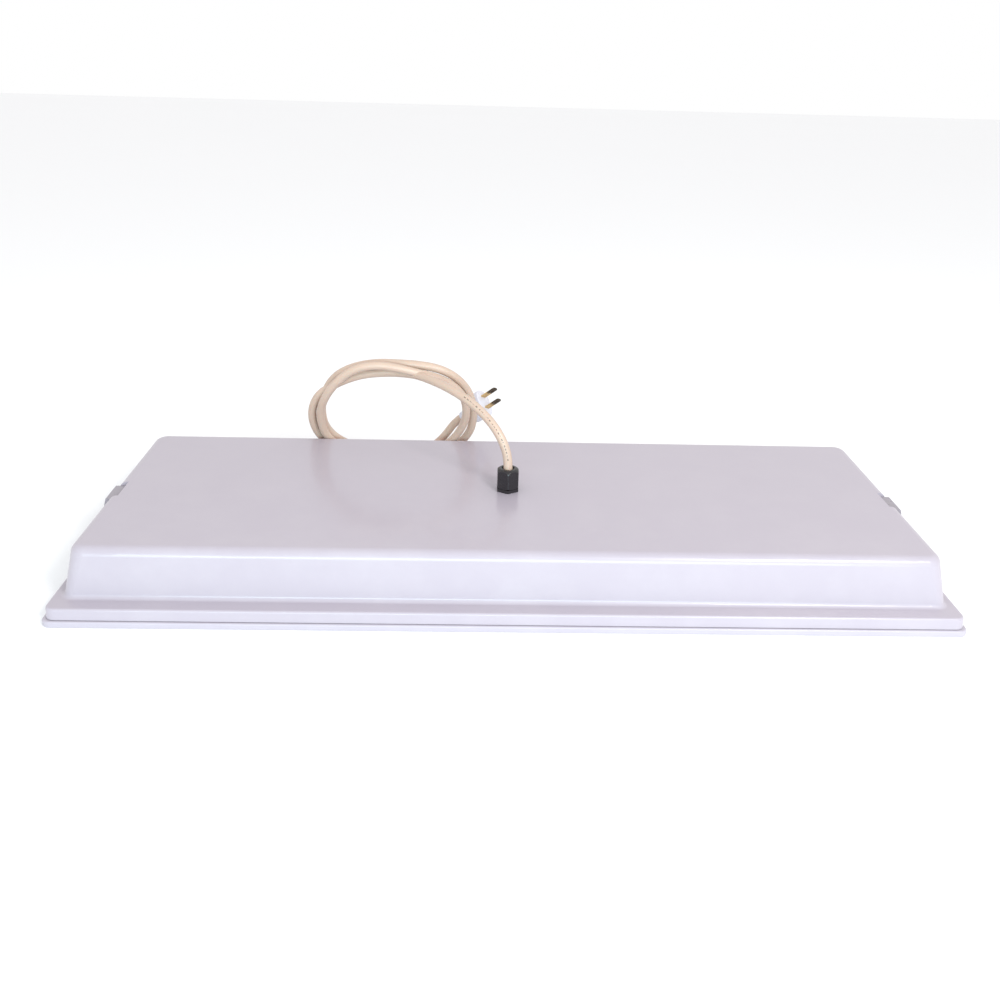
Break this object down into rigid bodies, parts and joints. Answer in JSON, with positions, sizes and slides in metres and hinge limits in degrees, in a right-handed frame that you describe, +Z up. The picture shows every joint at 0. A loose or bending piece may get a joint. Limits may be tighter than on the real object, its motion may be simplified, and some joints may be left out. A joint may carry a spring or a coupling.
{
  "type": "counter antenna pad",
  "caption": "Shallow white moulded antenna pad with a stepped mounting rim, side spring latches, a cable gland and a coiled mains lead with a two-blade plug.",
  "frame": {"origin": "under the middle of the pad, on the face it lies on", "axes": "+X along the pad, +Y across it towards the coiled lead, +Z up out of the back plate"},
  "size_m": [0.74, 0.3077, 0.1534],
  "materials": {
    "shell_plastic": "moulded, glossy",
    "face_plastic": "fine moulded texture",
    "gasket_foam": "closed-cell foam",
    "latch_plastic": "moulded",
    "steel": "bright zinc",
    "gland_nylon": "semi-gloss black nylon",
    "slip_ring_nylon": "natural nylon",
    "seal_rubber": "soft",
    "lead_jacket": "satin cream jacket",
    "clamp_nylon": "natural nylon",
    "former_plastic": "moulded",
    "copper": "enamelled copper",
    "tape": "polyimide tape",
    "board": "solder-masked laminate",
    "lamination": "varnished steel laminations",
    "bobbin": "taped winding on a bobbin",
    "capacitor_sleeve": "shrink sleeve",
    "film_capacitor": "dipped epoxy",
    "aluminium": "extruded",
    "chip_plastic": "moulded epoxy",
    "relay_cover": "moulded cover",
    "brass": "bright brass",
    "fuse_glass": "clear tube",
    "terminal_plastic": "moulded",
    "line_insulation": "PVC",
    "neutral_insulation": "PVC",
    "coil_lead_sleeve": "PVC",
    "plug_plastic": "moulded-on plug"
  },
  "bodies": {
    "pad": {"back_shell": "shell_plastic", "face_panel": "face_plastic", "rim_gasket": "gasket_foam", "latch_pin_right": "steel", "latch_pin_left": "steel", "latch_spring_right": "steel", "latch_spring_left": "steel", "gland_body": "gland_nylon", "gland_seal": "seal_rubber", "gland_claw": "gland_nylon", "gland_washer": "seal_rubber", "gland_locknut": "gland_nylon", "lead_inner": "lead_jacket", "lead_clamp": "clamp_nylon", "clamp_screws": "steel", "coil_former": "former_plastic", "antenna_winding": "copper", "winding_tapes": "tape", "former_screws": "steel", "circuit_board": "board", "board_screws": "steel", "transformer_core": "lamination", "transformer_winding": "bobbin", "storage_capacitors": "capacitor_sleeve", "tuning_capacitor": "film_capacitor", "heat_sink": "aluminium", "power_transistors": "chip_plastic", "relay": "relay_cover", "control_chips": "chip_plastic", "fuse_clips": "brass", "fuse": "fuse_glass", "terminal_block": "terminal_plastic", "terminal_screws": "steel", "line_tail": "line_insulation", "neutral_tail": "neutral_insulation", "coil_leads": "coil_lead_sleeve", "lead_exit": "lead_jacket", "lead_coil": "lead_jacket", "lead_tail": "lead_jacket", "plug_body": "plug_plastic", "plug_blade_line": "brass", "plug_blade_neutral": "brass"},
    "latch_right": {"latch_right": "latch_plastic"},
    "latch_left": {"latch_left": "latch_plastic"},
    "gland_carrier": {"gland_slip_ring": "slip_ring_nylon"},
    "gland_nut": {"gland_dome_nut": "gland_nylon"}
  },
  "joints": [
    {"name": "latch_right_swing", "type": "hinge", "parent": "pad", "child": "latch_right", "pos_m": [0.345, -0.01, 0.024], "axis": [0, -1, 0], "range_deg": [0, 12], "stiffness_Nm_per_rad": 0.3, "springref_deg": -11.46, "deforming": ["latch_spring_right"]},
    {"name": "latch_left_swing", "type": "hinge", "parent": "pad", "child": "latch_left", "pos_m": [-0.345, -0.01, 0.024], "axis": [0, 1, 0], "range_deg": [0, 12], "stiffness_Nm_per_rad": 0.3, "springref_deg": -11.46, "deforming": ["latch_spring_left"]},
    {"name": "gland_nut_travel", "type": "slide", "parent": "pad", "child": "gland_carrier", "axis": [0, 0, 1], "range_m": [0, 0.0045]},
    {"name": "gland_nut_turn", "type": "hinge", "parent": "gland_carrier", "child": "gland_nut", "pos_m": [0, 0, 0.069], "axis": [0, 0, 1], "range_deg": [0, 1080.6]}
  ],
  "couplings": [
    {"joint": "gland_nut_turn", "follows": "gland_nut_travel", "rad_per_m": 4188.8}
  ]
}
